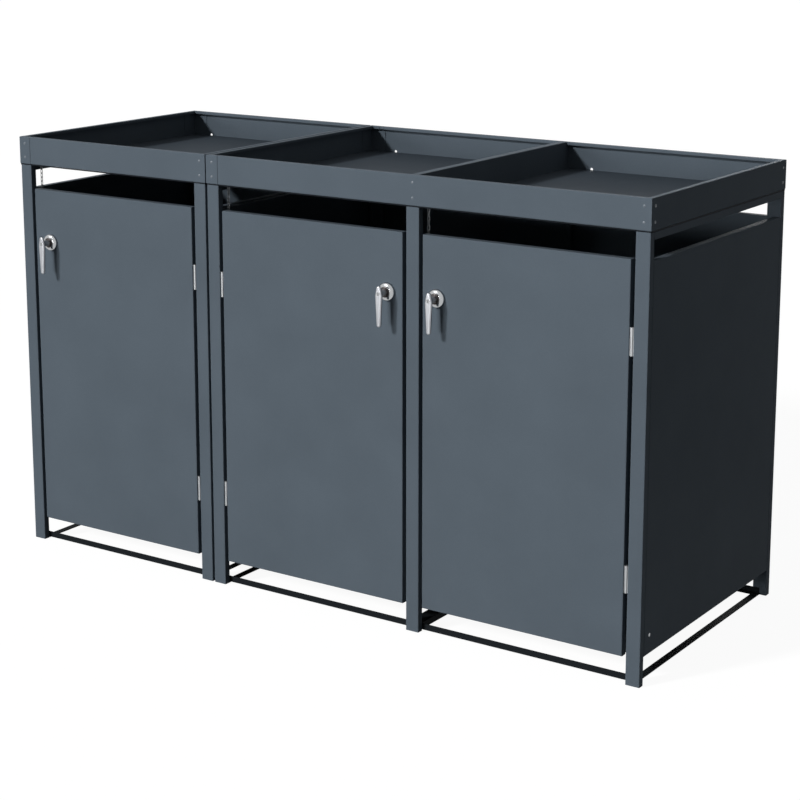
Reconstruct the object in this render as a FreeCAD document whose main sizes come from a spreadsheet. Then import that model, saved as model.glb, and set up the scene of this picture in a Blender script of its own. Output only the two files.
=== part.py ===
import FreeCAD, Part
import math
import os
import Sketcher

Vector = FreeCAD.Vector
doc = FreeCAD.newDocument("BinStore")
sheet = doc.addObject("Spreadsheet::Sheet", "Sizes")

# Driving dimensions in millimetres, each with the cell alias that names it
SIZES = [
    ("bay", 620, "clear width between two posts"),
    ("depth", 800, "front face to back face of the roof"),
    ("tall", 1236, "ground to the rim of the roof"),
    ("unit_gap", 4, "gap between the roofs of the two units"),
    ("metal", 1.5, "sheet thickness"),
    ("bend", 2.2, "outer radius of a folded edge"),
    ("post_width", 40, "post section across the front"),
    ("post_depth", 20, "post section from front to back"),
    ("roof_band", 80, "height of the roof fascia"),
    ("lip", 15, "width of the folded rim"),
    ("lip_drop", 8, "height of the rim's turned down edge"),
    ("flange", 18, "width of the flange that carries the tray"),
    ("tray_gap", 0.8, "clearance round a tray floor"),
    ("wrap", 40, "length of the side fascia folded round to the front"),
    ("seam", 1.2, "open seam between the folded end and the next fascia"),
    ("cleat_leg", 52, "leg of the corner cleat inside the tray"),
    ("cleat_rise", 66, "height of the corner cleat"),
    ("divider_width", 24, "width of the wall between two trays"),
    ("drain_radius", 4.5, "drain hole in the rear fascia"),
    ("left_drain_inset", 72, "drain hole from the left end of the left tray"),
    ("middle_drain_inset", 91, "drain hole from the left end of the middle tray"),
    ("right_drain_inset", 76, "drain hole from the left end of the right tray"),
    ("drain_lift", 5, "drain hole's centre above the roof's underside"),
    ("rivet_radius", 3, "rivet head"),
    ("rivet_rise", 1.2, "height of a rivet head"),
    ("rivet_inset", 20, "rivet from the corner and from the rims"),
    ("top_rail", 23, "height of the rails under the roof"),
    ("slot", 52, "open slot over a side or rear panel"),
    ("panel_base", 75, "ground to the lower edge of a panel"),
    ("pan_depth", 20, "depth of a door or panel with its folded edges"),
    ("pan_lip", 15, "width of the lip on a pan's open side"),
    ("door_base", 72, "ground to the lower edge of a door"),
    ("door_head", 72, "slot between a door and the roof"),
    ("door_gap", 11, "gap between a door and a post"),
    ("strip_thick", 3, "thickness of the side base strips"),
    ("angle_leg", 17, "upright leg of the base angle"),
    ("angle_foot", 20, "flat leg of the base angle"),
    ("angle_thick", 2, "thickness of the base angle"),
    ("keel", 17, "height of the middle base rail"),
    ("left_hinge_inset", 198, "end of the left door to the middle of a hinge"),
    ("hinge_inset", 203.5, "end of the other doors to the middle of a hinge"),
    ("hinge_drop", 4, "the middle door's hinges sit lower by this"),
    ("hinge_length", 71, "length of a hinge barrel"),
    ("hinge_setback", 4, "hinge axis behind the face of the door"),
    ("barrel_radius", 3.75, "hinge barrel"),
    ("pin_radius", 2, "hinge pin"),
    ("pin_play", 0.05, "clearance round a pin or a plug"),
    ("knuckle_gap", 0.4, "gap between two knuckles"),
    ("leaf_depth", 13, "width of a hinge leaf"),
    ("left_lock_rise", 858, "foot of the left door to its lock"),
    ("lock_rise", 850, "foot of the other doors to their locks"),
    ("left_lock_inset", 59, "free edge of the left door to its lock"),
    ("middle_lock_inset", 48.5, "free edge of the middle door to its lock"),
    ("right_lock_inset", 44, "free edge of the right door to its lock"),
    ("rose_radius", 25, "lock rose"),
    ("rose_height", 12, "height of the rose over the door"),
    ("rose_round", 11, "rounding of the rose"),
    ("neck_radius", 8.5, "neck that carries the lever"),
    ("neck_gap", 0.3, "gap between the neck and the rose"),
    ("spindle_radius", 5, "round part of the spindle in the rose"),
    ("square", 6.8, "square end of the spindle, which carries the cam"),
    ("lever_stand", 38, "middle of the lever over the door"),
    ("lever_thick", 9, "lever from front to back"),
    ("lever_crown", 14, "width of the lever's upper end"),
    ("lever_width", 21.5, "lever at its widest"),
    ("lever_belly", 6, "spindle to the lever's widest place"),
    ("lever_tip", 13, "width of the lever's tip"),
    ("lever_head", 21.5, "spindle to the lever's upper end"),
    ("lever_drop", 89, "spindle to the lever's tip"),
    ("lever_round", 2.6, "slope on the lever's edges"),
    ("plug_radius", 5.5, "key plug"),
    ("plug_depth", 5, "length of the key plug"),
    ("key_slot", 1.4, "width of the key slot"),
    ("cam_width", 18, "width of the lock cam"),
    ("cam_thick", 3, "thickness of the lock cam"),
    ("cam_gap", 1, "gap between the cam and the back of the post"),
    ("cam_hold", 10, "hold of the cam behind the post"),
    ("chain_setback", 36.5, "chain behind the face of the post"),
    ("chain_side", 6, "chain beside the post"),
    ("wire_radius", 1, "wire of a chain link"),
    ("link_length", 12, "inner length of a link"),
    ("link_width", 8, "outer width of a link"),
    ("link_count", 16, "links in a chain"),
    ("link_play", 0.25, "clearance between two links"),
    ("hook_wire", 1.5, "wire radius of the snap hook"),
    ("hook_length", 38, "inner length of the snap hook"),
    ("hook_width", 14, "outer width of the snap hook"),
    ("eye_radius", 4, "ring of the chain eye"),
    ("eye_wire", 1.2, "half the width of the eye's ring"),
    ("eye_plate", 2, "thickness of the eye's plate and ring"),
    ("eye_pad", 22, "length of the eye's plate"),
]


class Size:
    """A length that keeps its number together with the cell expression that drives it."""

    def __init__(self, number, text):
        self.number = number
        self.text = text

    def join(self, other, sign, number):
        return Size(number, "(%s %s %s)" % (self.text, sign, other.text))

    def __add__(self, other):
        other = size(other)
        return self.join(other, "+", self.number + other.number)

    def __sub__(self, other):
        other = size(other)
        return self.join(other, "-", self.number - other.number)

    def __mul__(self, other):
        other = size(other)
        return self.join(other, "*", self.number * other.number)

    def __truediv__(self, other):
        other = size(other)
        return self.join(other, "/", self.number / other.number)

    def __radd__(self, other):
        return size(other) + self

    def __rsub__(self, other):
        return size(other) - self

    def __rmul__(self, other):
        return size(other) * self

    def __neg__(self):
        return size(-1) * self


def size(value):
    """A plain number as a Size."""
    if isinstance(value, Size):
        return value
    return Size(float(value), "(%r)" % float(value))


class Cells:
    """The cells of the sheet, read by name."""


s = Cells()
for row, (name, number, meaning) in enumerate(SIZES, 1):
    sheet.set("A%d" % row, meaning)
    sheet.set("B%d" % row, str(number))
    sheet.setAlias("B%d" % row, name)
    setattr(s, name, Size(float(number), "Sizes." + name))
doc.recompute()

nodes = []


def node(item, label):
    """Names a finished sub-part."""
    item.Label = label
    nodes.append(item)
    return item


def place(item, x=0, y=0, z=0, turn=0):
    """Binds the place of a sub-part, turned about the upright axis."""
    item.Placement = FreeCAD.Placement(Vector(), FreeCAD.Rotation(Vector(0, 0, 1), turn))
    for axis, value in zip("xyz", (x, y, z)):
        item.setExpression(".Placement.Base." + axis, size(value).text)
    return item


def body():
    return doc.addObject("PartDesign::Body", "Body")


def group(label, items):
    """Like pieces that share one node."""
    joined = doc.addObject("Part::Compound", "Group")
    joined.Links = items
    return node(joined, label)


# Sketches and the features made from them
def pin_down(drawing, geometry, point, x=None, y=None):
    """Ties a point of a sketch to the sheet."""
    for kind, value in (("DistanceX", x), ("DistanceY", y)):
        if value is not None:
            value = size(value)
            rule = Sketcher.Constraint(kind, -1, 1, geometry, point, value.number)
            index = drawing.addConstraint(rule)
            drawing.setExpression("Constraints[%d]" % index, value.text)


def bind_radius(drawing, geometry, radius):
    index = drawing.addConstraint(Sketcher.Constraint("Radius", geometry, radius.number))
    drawing.setExpression("Constraints[%d]" % index, radius.text)


def circle(drawing, x, y, radius):
    x, y, radius = size(x), size(y), size(radius)
    shape = Part.Circle(Vector(x.number, y.number, 0), Vector(0, 0, 1), radius.number)
    index = drawing.addGeometry(shape)
    pin_down(drawing, index, 3, x, y)
    bind_radius(drawing, index, radius)


def polygon(drawing, corners):
    """A closed outline with straight sides at any angle."""
    corners = [(size(x), size(y)) for x, y in corners]
    spots = [Vector(x.number, y.number, 0) for x, y in corners]
    first = drawing.GeometryCount
    count = len(corners)
    for i in range(count):
        drawing.addGeometry(Part.LineSegment(spots[i], spots[(i + 1) % count]))
    for i in range(count):
        rule = Sketcher.Constraint("Coincident", first + i, 2, first + (i + 1) % count, 1)
        drawing.addConstraint(rule)
    for i, (x, y) in enumerate(corners):
        pin_down(drawing, first + i, 1, x, y)


def outline(drawing, corners):
    """A closed outline of level and upright sides; a corner may carry a radius."""
    count = len(corners)
    spots = [Vector(size(c[0]).number, size(c[1]).number, 0) for c in corners]
    radii = [size(c[2]) if len(c) > 2 else None for c in corners]
    ahead = []
    for i in range(count):
        way = spots[(i + 1) % count] - spots[i]
        ahead.append(way.normalize())
    leave = [spots[i] + ahead[i] * (radii[i].number if radii[i] else 0) for i in range(count)]
    reach = [spots[i] - ahead[i - 1] * (radii[i].number if radii[i] else 0) for i in range(count)]
    lines = []
    for i in range(count):
        lines.append(drawing.addGeometry(Part.LineSegment(leave[i], reach[(i + 1) % count])))
    for i, line in enumerate(lines):
        upright = abs(ahead[i].y) > 0.5
        drawing.addConstraint(Sketcher.Constraint("Vertical" if upright else "Horizontal", line))
        if upright:
            pin_down(drawing, line, 1, x=corners[i][0])
        else:
            pin_down(drawing, line, 1, y=corners[i][1])
    for i in range(count):
        before, after = lines[i - 1], lines[i]
        if not radii[i]:
            drawing.addConstraint(Sketcher.Constraint("Coincident", before, 2, after, 1))
            continue
        centre = reach[i] + ahead[i] * radii[i].number
        middle = centre + (spots[i] - centre).normalize() * radii[i].number
        arc = drawing.addGeometry(Part.Arc(reach[i], middle, leave[i]))
        left_turn = ahead[i - 1].cross(ahead[i]).z > 0
        start, end = (1, 2) if left_turn else (2, 1)
        drawing.addConstraint(Sketcher.Constraint("Tangent", before, 2, arc, start))
        drawing.addConstraint(Sketcher.Constraint("Tangent", after, 1, arc, end))
        bind_radius(drawing, arc, radii[i])


def rectangle(drawing, x0, y0, x1, y1, *radius):
    corners = [(x0, y0), (x1, y0), (x1, y1), (x0, y1)]
    outline(drawing, [corner + tuple(radius) for corner in corners])


def square(drawing, side):
    rectangle(drawing, -side / 2, -side / 2, side / 2, side / 2)


def sketch(owner, role, lift=0):
    """A sketch on one of the piece's own origin planes, lifted along its normal."""
    plane = next(f for f in owner.Origin.OriginFeatures if f.Role == role)
    drawing = owner.newObject("Sketcher::SketchObject", "Sketch")
    drawing.AttachmentSupport = [(plane, "")]
    drawing.MapMode = "FlatFace"
    drawing.setExpression(".AttachmentOffset.Base.z", size(lift).text)
    return drawing


def pad(owner, drawing, length, back=False):
    feature = owner.newObject("PartDesign::Pad", "Pad")
    feature.Profile = drawing
    feature.Reversed = back
    feature.setExpression("Length", size(length).text)
    return feature


def pocket(owner, drawing, length, back=False):
    """Cuts a pocket and makes sure that it cuts."""
    doc.recompute()
    before = owner.Tip.Shape.Volume
    feature = owner.newObject("PartDesign::Pocket", "Pocket")
    feature.Profile = drawing
    feature.Reversed = back
    feature.setExpression("Length", size(length).text)
    doc.recompute()
    if feature.Shape.Volume > before - 0.01:
        raise RuntimeError("a pocket of %s cuts nothing" % owner.Name)
    return feature


def dress(owner, kind, sized, value, choose):
    """Works the edges of the piece that the test chooses."""
    doc.recompute()
    rough = owner.Tip
    names = ["Edge%d" % (i + 1) for i, edge in enumerate(rough.Shape.Edges) if choose(edge)]
    feature = owner.newObject("PartDesign::" + kind, kind)
    feature.Base = (rough, names)
    feature.setExpression(sized, size(value).text)
    return feature


def fillet(owner, radius, choose):
    return dress(owner, "Fillet", "Radius", radius, choose)


def chamfer(owner, width, choose):
    return dress(owner, "Chamfer", "Size", width, choose)


# Places shared by the pieces, all from the bottom centre of the whole store
unit_one = s.bay + 2 * s.post_width + 2 * s.metal
unit_two = 2 * s.bay + 3 * s.post_width + 2 * s.metal
left_end = -(unit_one + s.unit_gap + unit_two) / 2
roof_x = [left_end, left_end + unit_one + s.unit_gap]
post_x = [left_end + s.metal]
post_x.append(post_x[0] + s.bay + s.post_width)
post_x.append(roof_x[1] + s.metal)
post_x.append(post_x[2] + s.bay + s.post_width)
post_x.append(post_x[3] + s.bay + s.post_width)
bays = [("left", post_x[0], post_x[1]), ("middle", post_x[2], post_x[3]), ("right", post_x[3], post_x[4])]
lever_front = s.lever_stand + s.lever_thick / 2
front = (lever_front - s.metal - s.depth - s.rivet_rise) / 2
face = front + s.metal
behind_posts = face + s.post_depth
rear_face = front + s.depth - s.metal
rear_posts = rear_face - s.post_depth
inner_depth = rear_posts - behind_posts
roof_base = s.tall - s.roof_band
floor_top = 2 * s.metal
panel_top = roof_base - s.top_rail - s.slot
panel_height = panel_top - s.panel_base
door_height = roof_base - s.door_head - s.door_base
door_width = s.bay - 2 * s.door_gap
cam_back = s.pan_depth + s.cam_gap + s.cam_thick


# Posts: box section, the front ones with rounded corners and flush with the doors
def post(x, y, *corner):
    item = body()
    drawing = sketch(item, "XY_Plane")
    rectangle(drawing, 0, 0, s.post_width, s.post_depth, *corner)
    rectangle(drawing, s.metal, s.metal, s.post_width - s.metal, s.post_depth - s.metal)
    pad(item, drawing, roof_base)
    return place(item, x, y, 0)


post_names = ["single_left", "single_right", "double_left", "double_middle", "double_right"]
for name, x in zip(post_names, post_x):
    node(post(x, face, s.bend), "front_post_" + name)
group("rear_posts_single", [post(x, rear_posts) for x in post_x[:2]])
group("rear_posts_double", [post(x, rear_posts) for x in post_x[2:]])


# Pans: a flat face with folded edges and a lip round the open side
def pan(width, height, *hole):
    item = body()
    drawing = sketch(item, "XZ_Plane")
    rectangle(drawing, 0, 0, width, height)
    if hole:
        circle(drawing, *hole)
    pad(item, drawing, s.metal, True)
    drawing = sketch(item, "XZ_Plane", -s.metal)
    rectangle(drawing, 0, 0, width, height)
    rectangle(drawing, s.metal, s.metal, width - s.metal, height - s.metal)
    pad(item, drawing, s.pan_depth - 2 * s.metal, True)
    drawing = sketch(item, "XZ_Plane", s.metal - s.pan_depth)
    rectangle(drawing, 0, 0, width, height)
    rectangle(drawing, s.pan_lip, s.pan_lip, width - s.pan_lip, height - s.pan_lip)
    pad(item, drawing, s.metal, True)
    fillet(item, s.bend, lambda edge: edge.BoundBox.YMax < 0.01 and edge.Length > 60)
    return item


# Side panels stand between the posts of a side, flush with them
side_panels = [
    ("side_panel_single_left", post_x[0], -90),
    ("side_panel_single_right", post_x[1] + s.post_width, 90),
    ("side_panel_double_left", post_x[2], -90),
    ("side_panel_double_right", post_x[4] + s.post_width, 90),
]
for label, x, turn in side_panels:
    item = node(pan(inner_depth, panel_height), label)
    place(item, x, rear_posts if turn < 0 else behind_posts, s.panel_base, turn)

# Rear panels stand between the rear posts
for name, left, right in bays:
    item = node(pan(s.bay, panel_height), "rear_panel_" + name)
    place(item, right, rear_face, s.panel_base, 180)


# Rails under the roof, of rectangular tube
def side_rail(x):
    item = body()
    drawing = sketch(item, "XZ_Plane")
    rectangle(drawing, 0, 0, s.pan_depth, s.top_rail)
    rectangle(drawing, s.metal, s.metal, s.pan_depth - s.metal, s.top_rail - s.metal)
    pad(item, drawing, inner_depth, True)
    return place(item, x, behind_posts, roof_base - s.top_rail)


def rear_rail(x):
    item = body()
    drawing = sketch(item, "YZ_Plane")
    rectangle(drawing, 0, 0, s.pan_depth, s.top_rail)
    rectangle(drawing, s.metal, s.metal, s.pan_depth - s.metal, s.top_rail - s.metal)
    pad(item, drawing, s.bay)
    return place(item, x, rear_face - s.pan_depth, roof_base - s.top_rail)


inside_edge = s.post_width - s.pan_depth
rail_x = [post_x[0], post_x[1] + inside_edge, post_x[2], post_x[4] + inside_edge]
group("side_top_rails", [side_rail(x) for x in rail_x])
group("rear_top_rails", [rear_rail(left + s.post_width) for name, left, right in bays])


# Base: flat side strips, angles behind the posts on the strips, and a middle rail on the angles
def base_strip(x):
    item = body()
    drawing = sketch(item, "XY_Plane")
    rectangle(drawing, 0, 0, s.post_width / 2, inner_depth)
    pad(item, drawing, s.strip_thick)
    return place(item, x, behind_posts, 0)


half_post = s.post_width / 2
strip_x = [post_x[0] + half_post, post_x[1], post_x[2] + half_post, post_x[4]]
group("base_side_strips", [base_strip(x) for x in strip_x])


def base_angle(length, x, y, turn):
    item = body()
    drawing = sketch(item, "YZ_Plane")
    thick = s.angle_thick
    outline(drawing, [
        (0, 0), (s.angle_foot, 0), (s.angle_foot, thick),
        (thick, thick), (thick, s.angle_leg), (0, s.angle_leg)])
    pad(item, drawing, length)
    return place(item, x, y, s.strip_thick, turn)


for name, first, last in (("single", post_x[0], post_x[1]), ("double", post_x[2], post_x[4])):
    length = last - first
    group("base_angles_" + name, [
        base_angle(length, first + half_post, behind_posts, 0),
        base_angle(length, last + half_post, rear_posts, 180)])

item = node(body(), "middle_base_rail")
drawing = sketch(item, "XZ_Plane")
rectangle(drawing, 0, 0, s.post_width, s.keel)
rectangle(drawing, s.metal, s.metal, s.post_width - s.metal, s.keel - s.metal)
pad(item, drawing, inner_depth - 2 * s.angle_thick, True)
place(item, post_x[3], behind_posts + s.angle_thick, s.strip_thick + s.angle_thick)


# Roof fascias: one folded profile with a rim at the top and a flange for the tray at the foot
def fascia_section(drawing, sign):
    """The profile, opening towards plus or minus of the sketch's level axis."""
    outline(drawing, [
        (0, 0, s.bend),
        (sign * s.flange, 0),
        (sign * s.flange, s.metal),
        (sign * s.metal, s.metal),
        (sign * s.metal, s.roof_band - s.metal),
        (sign * (s.lip - s.metal), s.roof_band - s.metal),
        (sign * (s.lip - s.metal), s.roof_band - s.lip_drop),
        (sign * s.lip, s.roof_band - s.lip_drop),
        (sign * s.lip, s.roof_band, s.bend),
        (0, s.roof_band, s.bend)])


def mitre(item, x, y, x_way, y_way):
    """Cuts the end of a fascia at 45 degrees through its outer corner."""
    reach = s.flange + s.lip
    drawing = sketch(item, "XY_Plane", -s.metal)
    polygon(drawing, [
        (x, y), (x + x_way[0] * reach, y + x_way[1] * reach),
        (x + y_way[0] * reach, y + y_way[1] * reach)])
    pocket(item, drawing, s.roof_band + 2 * s.metal, True)


def cross_fascia(width, way, drains=()):
    """A front or rear fascia; way is 1 where it opens to the back and -1 where it opens to the front."""
    item = body()
    start = s.wrap + s.seam
    drawing = sketch(item, "YZ_Plane", start)
    fascia_section(drawing, way)
    pad(item, drawing, width - start)
    mitre(item, width, 0, (0, way), (-1, way))
    if drains:
        drawing = sketch(item, "XZ_Plane", -s.metal)
        for x in drains:
            circle(drawing, x, s.drain_lift, s.drain_radius)
        pocket(item, drawing, 2.5 * s.metal, True)
    return item


def left_fascia():
    """A left fascia: its ends are folded round to the front and the back."""
    item = body()
    drawing = sketch(item, "XZ_Plane")
    fascia_section(drawing, 1)
    pad(item, drawing, s.depth, True)
    mitre(item, 0, 0, (1, 0), (1, 1))
    mitre(item, 0, s.depth, (1, 0), (1, -1))
    for y, way in ((0, 1), (s.depth, -1)):
        ear = body()
        drawing = sketch(ear, "YZ_Plane")
        fascia_section(drawing, way)
        pad(ear, drawing, s.wrap)
        mitre(ear, 0, 0, (0, way), (1, way))
        place(ear, 0, y, 0)
        yield ear
    yield item


def right_fascia():
    item = body()
    drawing = sketch(item, "XZ_Plane")
    fascia_section(drawing, -1)
    pad(item, drawing, s.depth, True)
    mitre(item, 0, 0, (-1, 0), (-1, 1))
    mitre(item, 0, s.depth, (-1, 0), (-1, -1))
    return item


def fused(items):
    joined = doc.addObject("Part::MultiFuse", "Fuse")
    joined.Shapes = items
    joined.Refine = True
    return joined


right_tray = (unit_two + s.divider_width) / 2
roofs = [
    ("single", roof_x[0], unit_one, [s.left_drain_inset]),
    ("double", roof_x[1], unit_two, [s.middle_drain_inset, right_tray + s.right_drain_inset]),
]
for name, x, width, drains in roofs:
    place(node(cross_fascia(width, 1), "front_fascia_" + name), x, front, roof_base)
    item = node(cross_fascia(width, -1, drains), "rear_fascia_" + name)
    place(item, x, front + s.depth, roof_base)
    place(node(fused(list(left_fascia())), "left_fascia_" + name), x, front, roof_base)
    place(node(right_fascia(), "right_fascia_" + name), x + width, front, roof_base)

# Tray floors lie on the flanges of the fascias
floor_z = roof_base + s.metal
half = (unit_two - s.divider_width) / 2
edge = s.metal + s.tray_gap
trays = [
    ("left", roof_x[0] + edge, unit_one - 2 * edge),
    ("middle", roof_x[1] + edge, unit_two / 2 - edge),
    ("right", roof_x[1] + unit_two / 2, unit_two / 2 - edge),
]
for name, x, width in trays:
    item = node(body(), "tray_floor_" + name)
    drawing = sketch(item, "XY_Plane")
    rectangle(drawing, 0, 0, width, s.depth - 2 * edge)
    pad(item, drawing, s.metal)
    place(item, x, front + edge, floor_z)

# The divider stands on the seam of the two floors, notched for the rims it passes under
item = node(body(), "tray_divider")
wall_height = s.roof_band - floor_top
drawing = sketch(item, "YZ_Plane")
length = s.depth - 2 * s.metal
notch = s.lip - s.metal + s.neck_gap
outline(drawing, [
    (0, 0), (length, 0), (length, wall_height - s.lip_drop - s.metal),
    (length - notch, wall_height - s.lip_drop - s.metal), (length - notch, wall_height),
    (notch, wall_height), (notch, wall_height - s.lip_drop - s.metal),
    (0, wall_height - s.lip_drop - s.metal)])
pad(item, drawing, s.divider_width)
drawing = sketch(item, "XZ_Plane", -s.metal)
rectangle(drawing, s.metal, 0, s.divider_width - s.metal, wall_height - s.lip_drop - 2 * s.metal)
pocket(item, drawing, length - 2 * s.metal, True)
fillet(item, s.bend, lambda e: e.BoundBox.ZMin > wall_height.number - 0.01 and e.Length > 100)
place(item, roof_x[1] + half, face, roof_base + floor_top)


# Corner cleats: small angles inside the tray corners, riveted through both fascias
def cleat(x, y, turn):
    item = body()
    drawing = sketch(item, "XY_Plane")
    outline(drawing, [
        (0, 0), (s.cleat_leg, 0), (s.cleat_leg, s.metal),
        (s.metal, s.metal), (s.metal, s.cleat_leg), (0, s.cleat_leg)])
    pad(item, drawing, s.cleat_rise)
    return place(item, x, y, roof_base + floor_top, turn)


cleats = []
for name, x, width, drains in roofs:
    near, far = x + s.metal, x + width - s.metal
    cleats.append(cleat(near, face, 0))
    cleats.append(cleat(far, face, 90))
    cleats.append(cleat(far, rear_face, 180))
    cleats.append(cleat(near, rear_face, -90))
group("corner_cleats", cleats)


# Rivets: heads on the fascias at the corners and at the divider
def rivet(x, y, z, way):
    item = doc.addObject("Part::Prism", "Rivet")
    item.Polygon = 8
    item.setExpression("Circumradius", s.rivet_radius.text)
    item.setExpression("Height", s.rivet_rise.text)
    item.Placement = FreeCAD.Placement(Vector(), FreeCAD.Rotation(Vector(0, 0, 1), Vector(*way)))
    for axis, value in zip("xyz", (x, y, z)):
        item.setExpression(".Placement.Base." + axis, size(value).text)
    return item


rivets = []
for name, x, width, drains in roofs:
    across = [x + s.rivet_inset, x + width - s.rivet_inset]
    if name == "double":
        across.append(x + width / 2)
    for z in (roof_base + s.rivet_inset, s.tall - s.rivet_inset):
        for spot in across:
            rivets.append(rivet(spot, front, z, (0, -1, 0)))
            rivets.append(rivet(spot, front + s.depth, z, (0, 1, 0)))
        for y in (front + s.rivet_inset, front + s.depth - s.rivet_inset):
            rivets.append(rivet(x, y, z, (-1, 0, 0)))
            rivets.append(rivet(x + width, y, z, (1, 0, 0)))
group("fascia_rivets", rivets)

# Doors: pans with the lock's spindle hole; side is 1 where the free edge is the left one
doors = [
    ("left", post_x[0] + s.post_width, 1, s.left_lock_inset, s.left_lock_rise),
    ("middle", post_x[2] + s.post_width, -1, s.middle_lock_inset, s.lock_rise),
    ("right", post_x[3] + s.post_width, 1, s.right_lock_inset, s.lock_rise),
]
locks = []
hinges = []
for name, bay_x, side, inset, rise in doors:
    lock_x = inset if side > 0 else door_width - inset
    item = node(pan(door_width, door_height, lock_x, rise, s.spindle_radius + s.neck_gap), "door_" + name)
    door_x = bay_x + s.door_gap
    place(item, door_x, face, s.door_base)
    locks.append((name, door_x + lock_x, s.door_base + rise, side, inset))
    axis_x = door_x + door_width + s.door_gap / 2 if side > 0 else bay_x + s.door_gap / 2
    end = s.left_hinge_inset if name == "left" else s.hinge_inset
    drop = s.hinge_drop if name == "middle" else size(0)
    middles = [s.door_base + end - drop, s.door_base + door_height - end - drop]
    hinges.append((name, axis_x, side, middles))


# Lift-off hinges: the post's leaf carries a fixed pin, and the door's knuckle turns on it
def knuckle(item, foot, length, hand, solid):
    drawing = sketch(item, "XY_Plane", foot)
    circle(drawing, 0, 0, s.barrel_radius)
    if not solid:
        circle(drawing, 0, 0, s.pin_radius + s.pin_play)
    pad(item, drawing, length)
    drawing = sketch(item, "XY_Plane", foot)
    root = s.pin_radius + s.pin_play + s.metal / 4
    tie = s.metal / 2
    polygon(drawing, [
        (hand * root, -tie), (hand * s.door_gap / 2, -tie),
        (hand * s.door_gap / 2, tie), (hand * root, tie)])
    pad(item, drawing, length)


def leaf(hand, on_door):
    """One leaf; hand is the side of the axis that it lies on."""
    item = body()
    outer = s.door_gap / 2
    drawing = sketch(item, "XY_Plane")
    polygon(drawing, [
        (hand * (outer - s.metal), -s.metal / 2), (hand * outer, -s.metal / 2),
        (hand * outer, s.leaf_depth), (hand * (outer - s.metal), s.leaf_depth)])
    pad(item, drawing, s.hinge_length)
    half_length = (s.hinge_length - s.knuckle_gap) / 2
    if on_door:
        knuckle(item, half_length + s.knuckle_gap, half_length, hand, False)
        return item
    knuckle(item, 0, half_length, hand, True)
    drawing = sketch(item, "XY_Plane")
    circle(drawing, 0, 0, s.pin_radius)
    pad(item, drawing, s.hinge_length - s.metal)
    return item


for name, axis_x, side, middles in hinges:
    for label, hand, on_door in (("hinge_door_leaves_", -side, True), ("hinge_post_leaves_", side, False)):
        pair = []
        for middle in middles:
            item = leaf(hand, on_door)
            pair.append(place(item, axis_x, face + s.hinge_setback, middle - s.hinge_length / 2))
        group(label + name, pair)


# Lock rose: a round base with a domed edge, seated on the door
def rose():
    item = body()
    drawing = sketch(item, "XY_Plane")
    bore = s.spindle_radius + s.pin_play
    polygon(drawing, [
        (bore, 0), (s.rose_radius, 0), (s.rose_radius, -s.rose_height / 3),
        (s.rose_radius - s.rose_round, -s.rose_height), (bore, -s.rose_height)])
    spun = item.newObject("PartDesign::Revolution", "Spun")
    spun.Profile = drawing
    spun.ReferenceAxis = (next(f for f in item.Origin.OriginFeatures if f.Role == "Y_Axis"), [""])
    spun.Angle = 360
    return item


# Lever: a tapered bar with rounded ends on a neck, whose spindle runs through the door to the cam
def lever_outline(drawing):
    """A crown, a belly and a tip, round and one under another, joined by their outer tangents."""
    crown, belly, tip = s.lever_crown / 2, s.lever_width / 2, s.lever_tip / 2
    rounds = [(crown, s.lever_head - crown), (belly, -s.lever_belly), (tip, tip - s.lever_drop)]
    lean = []
    for (upper, high), (lower, low) in zip(rounds, rounds[1:]):
        lean.append(math.asin((upper.number - lower.number) / (high.number - low.number)))

    def touch(piece, span, side):
        radius, level = rounds[piece]
        x, y = math.cos(lean[span]), math.sin(lean[span])
        return Vector(side * radius.number * x, level.number - radius.number * y, 0)

    # Counter-clockwise from the crown: each arc's piece, its outermost point and its two ends
    arcs = [
        (0, (0, 1), touch(0, 0, 1), touch(0, 0, -1)),
        (1, (-1, 0), touch(1, 0, -1), touch(1, 1, -1)),
        (2, (0, -1), touch(2, 1, -1), touch(2, 1, 1)),
        (1, (1, 0), touch(1, 1, 1), touch(1, 0, 1))]
    for i, (piece, way, start, end) in enumerate(arcs):
        radius, level = rounds[piece]
        middle = Vector(way[0] * radius.number, level.number + way[1] * radius.number, 0)
        arc = drawing.addGeometry(Part.Arc(start, middle, end))
        drawing.addGeometry(Part.LineSegment(end, arcs[(i + 1) % 4][2]))
        pin_down(drawing, arc, 3, 0, level)
        bind_radius(drawing, arc, radius)
    for i in range(8):
        drawing.addConstraint(Sketcher.Constraint("Tangent", i, 2, (i + 1) % 8, 1))


def lever():
    item = body()
    back = s.lever_stand - s.lever_thick / 2
    drawing = sketch(item, "XZ_Plane", back)
    lever_outline(drawing)
    pad(item, drawing, s.lever_thick)
    chamfer(item, s.lever_round, lambda e: abs(e.BoundBox.YMax - e.BoundBox.YMin) < 0.01)
    drawing = sketch(item, "XZ_Plane", back + s.lever_thick)
    circle(drawing, 0, 0, s.plug_radius + s.pin_play)
    pocket(item, drawing, s.plug_depth + s.pin_play)
    drawing = sketch(item, "XZ_Plane", s.rose_height + s.neck_gap)
    circle(drawing, 0, 0, s.neck_radius)
    pad(item, drawing, back - s.rose_height - s.neck_gap)
    drawing = sketch(item, "XZ_Plane")
    circle(drawing, 0, 0, s.spindle_radius)
    pad(item, drawing, s.rose_height + s.neck_gap)
    drawing = sketch(item, "XZ_Plane", -cam_back)
    square(drawing, s.square)
    pad(item, drawing, cam_back)
    return item


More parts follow.
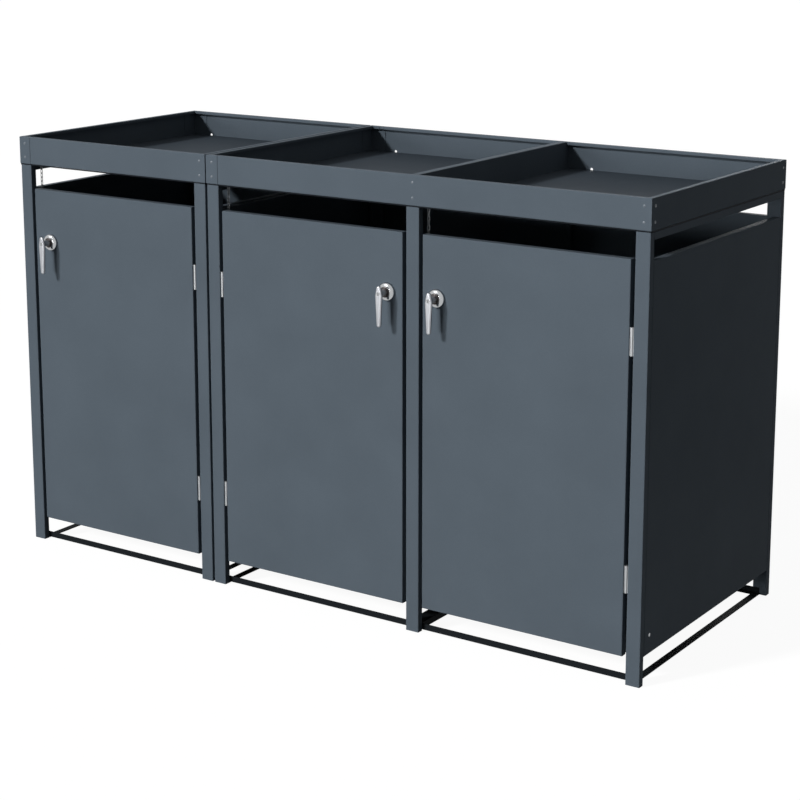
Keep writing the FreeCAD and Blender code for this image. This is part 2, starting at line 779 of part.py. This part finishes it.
def key_plug():
    item = body()
    drawing = sketch(item, "XZ_Plane", s.lever_stand + s.lever_thick / 2 - s.plug_depth)
    circle(drawing, 0, 0, s.plug_radius)
    pad(item, drawing, s.plug_depth)
    drawing = sketch(item, "XZ_Plane", s.lever_stand + s.lever_thick / 2)
    cut = s.plug_radius * 3 / 4
    rectangle(drawing, -s.key_slot / 2, -cut, s.key_slot / 2, cut)
    pocket(item, drawing, s.plug_depth / 2)
    return item


def cam(length):
    """The cam on the spindle's end, turned up out of the way of the post."""
    item = body()
    drawing = sketch(item, "XZ_Plane", -cam_back)
    half_width = s.cam_width / 2
    rectangle(drawing, -half_width, -half_width, half_width, length)
    square(drawing, s.square)
    pad(item, drawing, s.cam_thick)
    return item


for name, x, z, side, inset in locks:
    hold = inset + s.door_gap + s.cam_hold
    for label, item in (("lock_rose_", rose()), ("lock_lever_", lever()),
                        ("key_plug_", key_plug()), ("lock_cam_", cam(hold))):
        place(node(item, label + name), x, face, z)


# Lid chains: oval wire links, each turned a quarter against the last, with a snap hook at the foot
def wire_link(wire, inner_length, outer_width):
    """An upright oval of square wire in the XZ plane, its upper bow's centre line at the origin."""
    bow = outer_width / 2 - wire
    inner, outer = bow - wire, bow + wire
    low = -inner_length - 2 * wire
    faces = []
    for half_width, crown in ((outer, wire), (inner, -wire)):
        shoulder = half_width / 3 + wire
        side = [(-half_width, -bow), (-shoulder, crown), (shoulder, crown), (half_width, -bow)]
        ring = side + [(x, low - z) for x, z in reversed(side)]
        points = [Vector(x, -wire, z) for x, z in ring + ring[:1]]
        faces.append(Part.Face(Part.makePolygon(points)))
    return faces[0].cut(faces[1]).extrude(Vector(0, 2 * wire, 0))


def chain():
    """The links and the hook, hanging straight down from the ring of the eye."""
    wire, play = s.wire_radius.number, s.link_play.number
    length = s.link_length.number + 2 * wire
    link = wire_link(wire, s.link_length.number, s.link_width.number)
    top = -s.eye_radius.number + s.eye_wire.number + wire + 2 * play
    pieces = []
    for turn in range(int(s.link_count.number)):
        piece = link.copy()
        piece.rotate(Vector(), Vector(0, 0, 1), 90 * (turn % 2))
        piece.translate(Vector(0, 0, top))
        pieces.append(piece)
        top += 2 * wire + play - length
    hook_wire = s.hook_wire.number
    hook = wire_link(hook_wire, s.hook_length.number, s.hook_width.number)
    hook.rotate(Vector(), Vector(0, 0, 1), 90 * (len(pieces) % 2))
    hook.translate(Vector(0, 0, top - wire + hook_wire))
    pieces.append(hook)
    return Part.makeCompound(pieces)


# Chain eyes: a plate under the tray floor with a ring
def chain_eye(x, y):
    drop = s.eye_plate + s.eye_radius
    plate = doc.addObject("Part::Box", "EyePlate")
    plate.setExpression("Length", (s.eye_pad / 2).text)
    plate.setExpression("Width", s.eye_pad.text)
    plate.setExpression("Height", s.eye_plate.text)
    place(plate, -s.eye_pad / 4, -s.eye_pad / 2, drop - s.eye_plate)
    ring = doc.addObject("Part::Prism", "EyeRing")
    hole = doc.addObject("Part::Prism", "EyeHole")
    for item, radius in ((ring, s.eye_radius + s.eye_wire), (hole, s.eye_radius - s.eye_wire)):
        item.Polygon = 8
        item.setExpression("Circumradius", radius.text)
        item.setExpression("Height", s.eye_plate.text)
        item.Placement = FreeCAD.Placement(Vector(), FreeCAD.Rotation(Vector(0, 1, 0), 90))
        item.setExpression(".Placement.Base.x", (-s.eye_plate / 2).text)
    open_ring = doc.addObject("Part::Cut", "OpenRing")
    open_ring.Base = ring
    open_ring.Tool = hole
    return place(fused([plate, open_ring]), x, y, floor_z - drop)


eyes = []
for name, left, right in bays:
    chain_x = left + s.post_width + s.chain_side
    chain_y = face + s.chain_setback
    chain_z = floor_z - s.eye_plate - s.eye_radius
    eyes.append(chain_eye(chain_x, chain_y))
    item = doc.addObject("Part::Feature", "Chain")
    item.Shape = chain()
    place(node(item, "lid_chain_" + name), chain_x, chain_y, chain_z)
group("chain_eyes", eyes)

# Checks, then one file for each sub-part
doc.recompute()
for item in doc.Objects:
    if "Invalid" in item.State or "Error" in item.State:
        raise RuntimeError("%s (%s) did not compute" % (item.Name, item.Label))
for item in nodes:
    if item.Shape.isNull() or not item.Shape.isValid() or not item.Shape.Solids:
        raise RuntimeError("%s has no sound shape" % item.Label)
os.makedirs("parts", exist_ok=True)
whole = FreeCAD.BoundBox()
for item in nodes:
    item.Shape.exportStep(os.path.join("parts", item.Label + ".step"))
    whole.add(item.Shape.BoundBox)
print("%d sub-parts, overall %s" % (len(nodes), whole))
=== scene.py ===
import bmesh
import bpy
import numpy as np
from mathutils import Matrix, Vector


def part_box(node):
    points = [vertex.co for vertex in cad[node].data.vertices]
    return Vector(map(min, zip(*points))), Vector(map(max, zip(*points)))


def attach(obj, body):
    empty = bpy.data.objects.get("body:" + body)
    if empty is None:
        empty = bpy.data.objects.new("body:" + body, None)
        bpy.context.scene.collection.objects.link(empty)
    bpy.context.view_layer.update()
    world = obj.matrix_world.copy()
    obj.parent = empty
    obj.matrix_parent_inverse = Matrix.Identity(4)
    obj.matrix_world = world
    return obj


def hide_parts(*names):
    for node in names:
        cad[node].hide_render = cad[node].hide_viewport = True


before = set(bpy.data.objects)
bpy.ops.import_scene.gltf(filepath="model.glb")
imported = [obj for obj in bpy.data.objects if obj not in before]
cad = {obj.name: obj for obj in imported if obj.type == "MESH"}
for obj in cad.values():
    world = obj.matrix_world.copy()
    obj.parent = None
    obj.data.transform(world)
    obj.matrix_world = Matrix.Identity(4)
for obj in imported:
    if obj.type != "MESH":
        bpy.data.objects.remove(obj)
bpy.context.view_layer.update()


# ---- Powder-coated steel: posts, panels, rails, roofs and base.
# Posts and top rails are box section, panels, doors and roofs are folded from 1.5 mm sheet, and
# the base is angle and strip. All is sprayed with a fine-grained powder and baked: anthracite, and
# black on the base. Tray floors darker and roof top folds lighter: painted shade and highlight.
noise_span = (0.3, 0.7)
cloud_shade, grain_shade = (0.95, 1.05), (0.92, 1.08)
# rim_painted_highlight: how much lighter the colour is painted along the roofs' top folds
rim_painted_highlight, rim_depth, rim_blend = 1.2, 0.0012, 0.0006
grain_gloss, grain_depth = 0.06, 0.0004


def shader(owner, kind, **values):
    """A node of that kind with the given inputs set. An underscore stands for a space."""
    made = owner.node_tree.nodes.new(kind)
    for name, value in values.items():
        made.inputs[name.replace("_", " ")].default_value = value
    return made


def combined(owner, operation, first, second):
    """The two outputs taken together by that operation."""
    made = owner.node_tree.nodes.new("ShaderNodeMath")
    made.operation = operation
    owner.node_tree.links.new(first, made.inputs[0])
    owner.node_tree.links.new(second, made.inputs[1])
    return made.outputs[0]


def powder_coat(name, colour, roughness, rim=None, gloss=0.012):
    """Baked powder: small soft grains in surface and shade, and faint clouds in the shade.

    Above the height of a rim, where the sheet is folded over, the colour is a little lighter: a
    painted highlight where light catches the fold."""
    coat = bpy.data.materials.new(name)
    coat.use_nodes = True
    nodes, links = coat.node_tree.nodes, coat.node_tree.links
    paint = nodes["Principled BSDF"]
    paint.inputs["Specular IOR Level"].default_value = gloss
    where = nodes.new("ShaderNodeTexCoord")
    grain = shader(coat, "ShaderNodeTexNoise", Scale=900.0, Detail=3.0, Roughness=0.6)
    cloud = shader(coat, "ShaderNodeTexNoise", Scale=5.0, Detail=4.0, Roughness=0.55)
    for texture in (grain, cloud):
        links.new(where.outputs["Object"], texture.inputs["Vector"])
    shade = nodes.new("ShaderNodeValToRGB")
    for stop, place, share in zip(shade.color_ramp.elements, noise_span, cloud_shade):
        stop.position = place
        stop.color = [share * c for c in colour] + [1]
    links.new(cloud.outputs["Fac"], shade.inputs["Fac"])
    speck = shader(coat, "ShaderNodeMapRange", From_Min=noise_span[0], From_Max=noise_span[1],
                   To_Min=grain_shade[0], To_Max=grain_shade[1])
    links.new(grain.outputs["Fac"], speck.inputs["Value"])
    strength = speck.outputs["Result"]
    # Painted highlight: the colour is lifted in the top band of a rim, for light caught on the fold
    if rim:
        apart = nodes.new("ShaderNodeSeparateXYZ")
        above = shader(coat, "ShaderNodeMapRange", From_Min=rim - rim_depth,
                       From_Max=rim - rim_blend, To_Min=1.0, To_Max=rim_painted_highlight)
        links.new(where.outputs["Object"], apart.inputs[0])
        links.new(apart.outputs["Z"], above.inputs["Value"])
        strength = combined(coat, "MULTIPLY", above.outputs["Result"], strength)
    lift = nodes.new("ShaderNodeVectorMath")
    lift.operation = "SCALE"
    links.new(shade.outputs["Color"], lift.inputs[0])
    links.new(strength, lift.inputs["Scale"])
    links.new(lift.outputs[0], paint.inputs["Base Color"])
    sheen = shader(coat, "ShaderNodeMapRange", To_Min=roughness - grain_gloss,
                   To_Max=roughness + grain_gloss)
    links.new(grain.outputs["Fac"], sheen.inputs["Value"])
    links.new(sheen.outputs["Result"], paint.inputs["Roughness"])
    bump = shader(coat, "ShaderNodeBump", Strength=0.12, Distance=grain_depth)
    links.new(grain.outputs["Fac"], bump.inputs["Height"])
    links.new(bump.outputs["Normal"], paint.inputs["Normal"])
    return coat


def dress(starts, material):
    """Gives the material to each CAD node whose name starts so."""
    for name in cad:
        if name.startswith(starts):
            cad[name].data.materials.clear()
            cad[name].data.materials.append(material)


anthracite_colour = (0.098, 0.122, 0.147)
roof_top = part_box("front_fascia_single")[1][2]
anthracite = powder_coat("anthracite_coat", anthracite_colour, roughness=0.5)
base_coat = powder_coat("base_coat", (0.0135, 0.0160, 0.0185), roughness=0.5)
# The roofs carry a painted highlight along their top folds.
roof_coat_painted_highlight = powder_coat("roof_coat_painted_highlight", anthracite_colour, roughness=0.5, rim=roof_top)
# The tray floors are painted darker: painted shade in the recess of each tray.
tray_coat_painted_shade = powder_coat("tray_coat_painted_shade", (0.055, 0.068, 0.083), roughness=0.55)
dress(("front_post", "rear_post", "side_panel", "rear_panel", "side_top", "rear_top",
       "door_", "corner_cleats"), anthracite)
dress(("front_fascia", "rear_fascia", "left_fascia", "right_fascia", "tray_divider"), roof_coat_painted_highlight)
dress("tray_floor", tray_coat_painted_shade)
dress(("base_", "middle_base"), base_coat)

# ---- Rivets: blind rivets with domed heads, painted with the fascias they hold, a shade lighter.
# They go through the fascias into the corner cleats, 20 mm in from the corners and the rims, and
# the double unit has more over its middle posts.
rivet_inset, rivet_radius, rivet_rise = 0.020, 0.0040, 0.0012
same_point = 1e-6


def sheet_mesh(name, points):
    """A surface on a grid of points, rows by columns by xyz, its columns joined round."""
    rows, columns = points.shape[:2]
    here = np.arange(rows * columns).reshape(rows, columns)
    ahead = np.roll(here, -1, axis=1)
    faces = np.stack([here[:-1], ahead[:-1], ahead[1:], here[1:]], axis=-1).reshape(-1, 4)
    mesh = bpy.data.meshes.new(name)
    mesh.from_pydata(points.reshape(-1, 3).tolist(), [], faces.tolist())
    return mesh


def finished(name, meshes, material, body, smooth=40):
    """Joins meshes into one closed piece, shades it smooth up to that angle and rides it."""
    joined = bmesh.new()
    for mesh in meshes:
        joined.from_mesh(mesh)
    bmesh.ops.remove_doubles(joined, verts=joined.verts, dist=same_point)
    bmesh.ops.recalc_face_normals(joined, faces=joined.faces)
    mesh = bpy.data.meshes.new(name)
    joined.to_mesh(mesh)
    joined.free()
    mesh.shade_smooth()
    mesh.set_sharp_from_angle(angle=np.radians(smooth))
    mesh.materials.append(material)
    piece = bpy.data.objects.new(name, mesh)
    bpy.context.collection.objects.link(piece)
    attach(piece, body)
    return piece


def turned(radii, heights, centre, axis, steps=24):
    """A profile turned about a level axis: ring k has radius radii[k] at heights[k] along it."""
    axis = np.array(axis, float)
    side = np.cross(axis, (0.0, 0.0, 1.0))
    other = np.cross(axis, side)
    angle = np.linspace(0, 2 * np.pi, steps, endpoint=False)
    circle = np.cos(angle)[:, None] * side + np.sin(angle)[:, None] * other
    rings = np.array(radii)[:, None, None] * circle + np.array(heights)[:, None, None] * axis
    return sheet_mesh("turned", rings + np.array(centre, float))


def dome(radius, rise, rings=6):
    """Profile of a low dome: height falls with the square of the distance from its axis."""
    out = np.linspace(0, radius, rings)[::-1]
    return out, rise * (1 - (out / radius) ** 2)


radii, heights = dome(rivet_radius, rivet_rise)
heads = []
for unit in ("single", "double"):
    low = np.array(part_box("left_fascia_" + unit)[0])
    high = np.array(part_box("right_fascia_" + unit)[1])
    across = [low[0] + rivet_inset, high[0] - rivet_inset]
    if unit == "double":
        across.append((low[0] + high[0]) / 2)
    ends = (low[1] + rivet_inset, high[1] - rivet_inset)
    for z in (low[2] + rivet_inset, high[2] - rivet_inset):
        spots = [((x, y, z), (0, way, 0)) for x in across for y, way in ((low[1], -1), (high[1], 1))]
        spots += [((x, y, z), (way, 0, 0)) for x, way in ((low[0], -1), (high[0], 1)) for y in ends]
        heads += [turned([0, *radii], [0, *heights], spot, way) for spot, way in spots]
# The heads' lighter colour is a painted highlight on the small domes; their gloss is real.
rivet_coat_painted_highlight = powder_coat("rivet_coat_painted_highlight", (0.105, 0.130, 0.156), roughness=0.35, gloss=0.45)
rivets = finished("rivet_heads", heads, rivet_coat_painted_highlight, "frame", smooth=70)
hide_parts("fascia_rivets")

# ---- Panel screws: pan-head screws that hold the outer side panels to their posts.
# Bare zinc-plated heads with a round drive recess, one at the lower front corner of each panel.
screw_inset, screw_lift, screw_radius, screw_rise = 0.0290, 0.050, 0.0045, 0.0022
recess_radius, recess_top, recess_floor = 0.0016, 0.0020, 0.0008


def plated(name, colour, roughness, streak):
    """Plated metal with faint streaks in its gloss."""
    metal = bpy.data.materials.new(name)
    metal.use_nodes = True
    nodes, links = metal.node_tree.nodes, metal.node_tree.links
    skin = nodes["Principled BSDF"]
    skin.inputs["Base Color"].default_value = (*colour, 1)
    skin.inputs["Metallic"].default_value = 1.0
    where = nodes.new("ShaderNodeTexCoord")
    blur = shader(metal, "ShaderNodeTexNoise", Scale=120.0, Detail=4.0, Roughness=0.5)
    links.new(where.outputs["Object"], blur.inputs["Vector"])
    gloss = shader(metal, "ShaderNodeMapRange", To_Min=roughness, To_Max=roughness + streak)
    links.new(blur.outputs["Fac"], gloss.inputs["Value"])
    links.new(gloss.outputs["Result"], skin.inputs["Roughness"])
    return metal


zinc = plated("zinc_plate", (0.37, 0.38, 0.39), roughness=0.35, streak=0.12)
radii, heights = dome(screw_radius, screw_rise)
radii = [0, *radii[:-2], recess_radius, recess_radius, 0]
heights = [0, *heights[:-2], recess_top, recess_floor, recess_floor]
screws = []
for name, side in (("side_panel_single_left", -1), ("side_panel_double_right", 1)):
    low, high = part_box(name)
    spot = (low[0] if side < 0 else high[0], low[1] + screw_inset, low[2] + screw_lift)
    screws.append(turned(radii, heights, spot, (side, 0, 0)))
panel_screws = finished("panel_screws", screws, zinc, "frame", smooth=50)

# ---- Roof joints: painted shade in the open joint between each roof and the frame that it sits on.
# A thin black band runs round the posts and rails under the fascias, for the shade in that joint.
bead_height, side_bead_height, bead_out, bead_clear = 0.0030, 0.0045, 0.0006, 0.0001


def block(low, high):
    """A box between two corners: rings of four points from foot to top, both ends closed."""
    (x0, y0, z0), (x1, y1, z1) = low, high
    ring = np.array([(x0, y0), (x1, y0), (x1, y1), (x0, y1)])
    middle = ring.mean(axis=0)
    rows = [(middle, z0), (ring, z0), (ring, z1), (middle, z1)]
    points = [np.column_stack([np.broadcast_to(flat, (4, 2)), np.full(4, z)]) for flat, z in rows]
    return sheet_mesh("block", np.array(points))


# Black for painted shade, used in the roof joints and the door gaps.
painted_shade_black = bpy.data.materials.new("black_painted_shade")
painted_shade_black.use_nodes = True
skin = painted_shade_black.node_tree.nodes["Principled BSDF"]
skin.inputs["Base Color"].default_value = (0.006, 0.008, 0.011, 1)
skin.inputs["Roughness"].default_value = 0.8
skin.inputs["Specular IOR Level"].default_value = 0.1
for unit in ("single", "double"):
    roof_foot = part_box("front_fascia_" + unit)[0][2]
    low = np.array(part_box("front_post_%s_left" % unit)[0]) - bead_out
    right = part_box("front_post_%s_right" % unit)[1][0]
    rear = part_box("rear_posts_" + unit)[1][1]
    high = np.array([right, rear, roof_foot]) + bead_out
    foot, side_foot = roof_foot - bead_height, roof_foot - side_bead_height
    top, inner = roof_foot - bead_clear, 2 * bead_out
    sides = [block((low[0], low[1], foot), (high[0], low[1] + inner, top)),
             block((low[0], high[1] - inner, foot), (high[0], high[1], top)),
             block((low[0], low[1] + inner, side_foot), (low[0] + inner, high[1] - inner, top)),
             block((high[0] - inner, low[1] + inner, side_foot), (high[0], high[1] - inner, top))]
    finished("roof_joint_shade_" + unit, sides, painted_shade_black, "frame", smooth=30)

# ---- Door strips: a black strip down the back of each door on its hinge side.
# It is painted shade: it closes the view through the gap, which lies dark in the store's shade.
strip_width, strip_thick, strip_end = 0.010, 0.0035, 0.004
for bay, hinged in (("left", 1), ("middle", -1), ("right", 1)):
    low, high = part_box("door_" + bay)
    outer = high[0] if hinged > 0 else low[0]
    near, far = sorted((outer, outer - hinged * strip_width))
    strip = block((near, high[1], low[2] + strip_end),
                  (far, high[1] + strip_thick, high[2] - strip_end))
    finished("door_gap_shade_" + bay, [strip], painted_shade_black, "door_" + bay, smooth=30)

# ---- Hinges, lock cams and chain eyes: bright zinc-plated steel, fixed after painting.
# Rolled barrels on steel pins show in the gaps beside the doors; the cams turn behind the posts.
dress(("hinge_", "lock_cam", "chain_eyes"), zinc)

# ---- Lock roses: round domed covers of polished chrome on the doors.
# Each sits flat on the paint and carries the lever's round journal in its bore. A dark
# ring round the foot of the lever's neck is a painted reflection, for the dark middle of the dome.
bays = ("left", "middle", "right")
rose_radius, rose_height, rose_rim, bore = 0.025, 0.012, 0.0015, 0.00505
out_bend, up_bend, dome_rings = 0.75, 0.8, 14
dark_ring_radius, dark_ring_bore, dark_ring_rise = 0.0145, 0.0088, 0.0009


def lock_pivot(bay):
    """The point at which a lock's axis meets the face of its door."""
    low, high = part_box("lock_rose_" + bay)
    return np.array([(low[0] + high[0]) / 2, high[1], (low[2] + high[2]) / 2])


chrome = plated("chrome_plate", (0.43, 0.44, 0.45), roughness=0.14, streak=0.06)
# A dark metal for the ring at the lever's neck: a painted reflection in the chrome dome.
painted_reflection_steel = plated("dark_steel_painted_reflection", (0.055, 0.050, 0.050), roughness=0.30, streak=0.1)
for bay in bays:
    pivot = lock_pivot(bay)
    # Dome: radius and height run round a quarter of a superellipse above a short upright rim
    turn = np.linspace(0, np.pi / 2, dome_rings)
    radii = bore + (rose_radius - bore) * np.cos(turn) ** out_bend
    heights = rose_rim + (rose_height - rose_rim) * np.sin(turn) ** up_bend
    radii = [bore, rose_radius, *radii, bore, bore]
    heights = [0, 0, *heights, rose_height, 0]
    cover = turned(radii, heights, pivot, (0, -1, 0), steps=64)
    rose = finished("rose_" + bay, [cover], chrome, "door_" + bay)
    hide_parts("lock_rose_" + bay)
    # Dark ring: its face falls from the bore to a bevelled edge. Its dark colour is a painted
    # reflection.
    foot, top = rose_height - dark_ring_rise, rose_height + dark_ring_rise
    radii = [dark_ring_bore, dark_ring_radius, dark_ring_radius, dark_ring_radius - dark_ring_rise, dark_ring_bore, dark_ring_bore]
    heights = [foot, foot, rose_height, rose_height + dark_ring_rise / 2, top, foot]
    ring = turned(radii, heights, pivot, (0, -1, 0), steps=48)
    dark_ring = finished("rose_dark_ring_" + bay, [ring], painted_reflection_steel, "door_" + bay)

# ---- Levers: cast handles in satin chrome, hanging down when the door is free.
# The bar stands off the door on a round neck. It tapers to a round tip, its edges are rounded
# over, and the polished key plug is let into its head.
lever_stand, lever_thick, edge, edge_rings = 0.038, 0.009, 0.0042, 13
crown, belly, tip = 0.014, 0.0215, 0.013
lever_top, belly_level, lever_foot = 0.0215, -0.006, -0.089
spindle_half, journal_radius, journal_length = 0.0034, 0.005, 0.0123
neck_radius, plug_radius, plug_depth = 0.0085, 0.00555, 0.00505


def bar_ring(widths, levels, inset, depth, points=72):
    """The hull of round parts one under another, drawn in by inset, at that depth before the door.

    In each direction the point furthest out lies on the part whose level times the direction's
    rise, plus its radius, is greatest."""
    angle = np.linspace(0, 2 * np.pi, points, endpoint=False)
    radii = np.array(widths)[:, None] / 2 - inset
    levels = np.array(levels)[:, None]
    part = np.argmax(levels * np.sin(angle) + radii, axis=0)
    x = radii[part, 0] * np.cos(angle)
    z = levels[part, 0] + radii[part, 0] * np.sin(angle)
    return np.stack([x, np.full_like(x, -depth), z], axis=1)


def round_ring(radius, depth, like, square=False):
    """A circle, or a square, whose points stand at the same angles as another ring's."""
    angle = np.linspace(0, 2 * np.pi, len(like), endpoint=False)
    x, z = np.cos(angle), np.sin(angle)
    if square:
        reach = np.maximum(abs(x), abs(z))
        x, z = x / reach, z / reach
    return np.stack([radius * x, np.full_like(x, -depth), radius * z], axis=1)


satin = plated("satin_chrome", (0.37, 0.38, 0.40), roughness=0.30, streak=0.1)
levels = [lever_top - crown / 2, belly_level, tip / 2 + lever_foot]
back, front = lever_stand - lever_thick / 2, lever_stand + lever_thick / 2
for bay in bays:
    pivot = lock_pivot(bay)
    # Edge: inset and depth follow a half circle from the back face to the front one
    turn = np.linspace(-np.pi / 2, np.pi / 2, edge_rings)
    outline = [bar_ring((crown, belly, tip), levels, edge * (1 - np.cos(a)),
                        lever_stand + lever_thick / 2 * np.sin(a)) for a in turn]
    like = outline[0]
    end = pivot[1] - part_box("lock_cam_" + bay)[1][1]
    rings = [round_ring(0, end, like), round_ring(spindle_half, end, like, square=True),
             round_ring(spindle_half, 0, like, square=True), round_ring(journal_radius, 0, like),
             round_ring(journal_radius, journal_length, like),
             round_ring(neck_radius, journal_length, like), round_ring(neck_radius, back, like)]
    rings += outline
    rings += [round_ring(plug_radius, front, like), round_ring(plug_radius, front - plug_depth, like),
              round_ring(0, front - plug_depth, like)]
    mesh = sheet_mesh("lever", np.array(rings) + pivot)
    lever = finished("lever_bar_" + bay, [mesh], satin, "lever_" + bay, smooth=35)
    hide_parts("lock_lever_" + bay)
dress("key_plug_", chrome)

# ---- Lid chains: welded oval links of zinc-plated wire, hung from an eye under each tray.
# Each link is turned a quarter against the last, and a snap hook at the foot takes the bin's lid.
wire, link_length, link_width, link_count, link_play = 0.001, 0.012, 0.008, 16, 0.00025
hook_wire, hook_length, hook_width = 0.0015, 0.038, 0.014


def wire_link(wire, length, width, top, quarter, steps=28, sides=8):
    """A round wire carried along an oval: two half circles joined by straights.

    The length is taken inside the oval and the width outside it. Its top is where the wire's
    middle passes highest, and a quarter turn swaps its x and y."""
    bow = width / 2 - wire
    straight = length + 2 * wire - 2 * bow
    turn = np.linspace(0, np.pi, steps // 2)
    x = np.concatenate([bow * np.cos(turn), -bow * np.cos(turn)])
    z = np.concatenate([bow * np.sin(turn), -straight - bow * np.sin(turn)]) - bow
    out_x = np.concatenate([np.cos(turn), -np.cos(turn)])
    out_z = np.concatenate([np.sin(turn), -np.sin(turn)])
    round_wire = np.linspace(0, 2 * np.pi, sides, endpoint=False)
    reach, lift = wire * np.cos(round_wire)[None], wire * np.sin(round_wire)[None]
    points = np.stack([x[:, None] + out_x[:, None] * reach,
                       np.broadcast_to(lift, (len(x), sides)),
                       z[:, None] + out_z[:, None] * reach], axis=-1)
    if quarter:
        points = points[..., [1, 0, 2]]
    points = np.concatenate([points, points[:1]]) + np.array(top)
    return sheet_mesh("link", points)


chain_zinc = plated("chain_zinc", (0.18, 0.19, 0.20), roughness=0.35, streak=0.1)
for bay in bays:
    low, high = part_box("lid_chain_" + bay)
    x, y, z = (low[0] + high[0]) / 2, (low[1] + high[1]) / 2, high[2] - wire
    loops = []
    for k in range(link_count):
        loops.append(wire_link(wire, link_length, link_width, (x, y, z), k % 2))
        z += link_play - link_length
    hook_top = (x, y, z - wire + hook_wire)
    loops.append(wire_link(hook_wire, hook_length, hook_width, hook_top, link_count % 2,
                           steps=36, sides=10))
    chain = finished("wire_chain_" + bay, loops, chain_zinc, "chain_" + bay, smooth=60)
    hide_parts("lid_chain_" + bay)

# ---- Ground: a plain pale floor that shows as white and keeps a faint shadow.
# It adds a glow where it is seen, and throws little light back on the object.
floor_reach, floor_shade, floor_glow = 30.0, 0.13, 0.94


def seen_rays(owner):
    """1 on a ray from the camera, off a glossy face or through a clear one, else 0."""
    path = owner.node_tree.nodes.new("ShaderNodeLightPath")
    near = combined(owner, "MAXIMUM", path.outputs["Is Camera Ray"], path.outputs["Is Glossy Ray"])
    return combined(owner, "MAXIMUM", near, path.outputs["Is Transmission Ray"])


ground = bpy.data.materials.new("pale_floor")
ground.use_nodes = True
nodes, links = ground.node_tree.nodes, ground.node_tree.links
nodes.remove(nodes["Principled BSDF"])
plain = shader(ground, "ShaderNodeBsdfDiffuse", Color=(floor_shade, floor_shade, floor_shade, 1))
glow = shader(ground, "ShaderNodeEmission", Color=(1, 1, 1, 1), Strength=floor_glow)
bright = nodes.new("ShaderNodeAddShader")
links.new(plain.outputs[0], bright.inputs[0])
links.new(glow.outputs[0], bright.inputs[1])
choice = nodes.new("ShaderNodeMixShader")
links.new(seen_rays(ground), choice.inputs["Fac"])
links.new(plain.outputs[0], choice.inputs[1])
links.new(bright.outputs[0], choice.inputs[2])
links.new(choice.outputs[0], nodes["Material Output"].inputs["Surface"])
mesh = bpy.data.meshes.new("floor")
corners = [(-floor_reach, -floor_reach, 0), (floor_reach, -floor_reach, 0),
           (floor_reach, floor_reach, 0), (-floor_reach, floor_reach, 0)]
mesh.from_pydata(corners, [], [(0, 1, 2, 3)])
mesh.materials.append(ground)
floor = bpy.data.objects.new("floor", mesh)
bpy.context.collection.objects.link(floor)

# ---- Light: a key lamp from the front left, a level fill, a weak lamp behind and a surround.
# All are plain white, and the surround is brighter where the camera or the metal sees it.
surround_light, surround_seen = 0.14, 1.0


def lamp(name, energy, softness, way):
    """A distant lamp that shines along that way, its disc as wide as the softness in degrees."""
    light = bpy.data.lights.new(name, "SUN")
    light.energy, light.angle = energy, np.radians(softness)
    stand = bpy.data.objects.new(name, light)
    bpy.context.collection.objects.link(stand)
    stand.rotation_euler = Vector(way).to_track_quat("-Z", "Y").to_euler()


lamp("key", energy=2.29, softness=7, way=(0.55, 1.0, -0.60))
lamp("fill", energy=1.75, softness=15, way=(0.3, 1.0, 0.0))
lamp("back", energy=0.60, softness=25, way=(0.25, -1.0, -0.12))
world = bpy.data.worlds.new("surround")
bpy.context.scene.world = world
world.use_nodes = True
nodes, links = world.node_tree.nodes, world.node_tree.links
level = shader(world, "ShaderNodeMapRange", To_Min=surround_light, To_Max=surround_seen)
links.new(seen_rays(world), level.inputs["Value"])
links.new(level.outputs["Result"], nodes["Background"].inputs["Strength"])
nodes["Background"].inputs["Color"].default_value = (1, 1, 1, 1)

# ---- Camera: from the front right, a little above the roof, as the photograph was taken.
# It stands 5.6 m from the store's middle with a long lens, tilted down and turned left.
tilt, turn = 0.2008, 0.5923
camera = bpy.data.objects.new("camera", bpy.data.cameras.new("camera"))
bpy.context.collection.objects.link(camera)
camera.location = (3.0973, -4.5139, 1.9717)
camera.rotation_euler = (np.pi / 2 - tilt, 0, turn)
camera.data.sensor_width = 36
camera.data.lens = 88.15
camera.data.shift_y = -0.15
camera.data.clip_end = 200
bpy.context.scene.camera = camera
bpy.context.scene.view_settings.view_transform = "Standard"
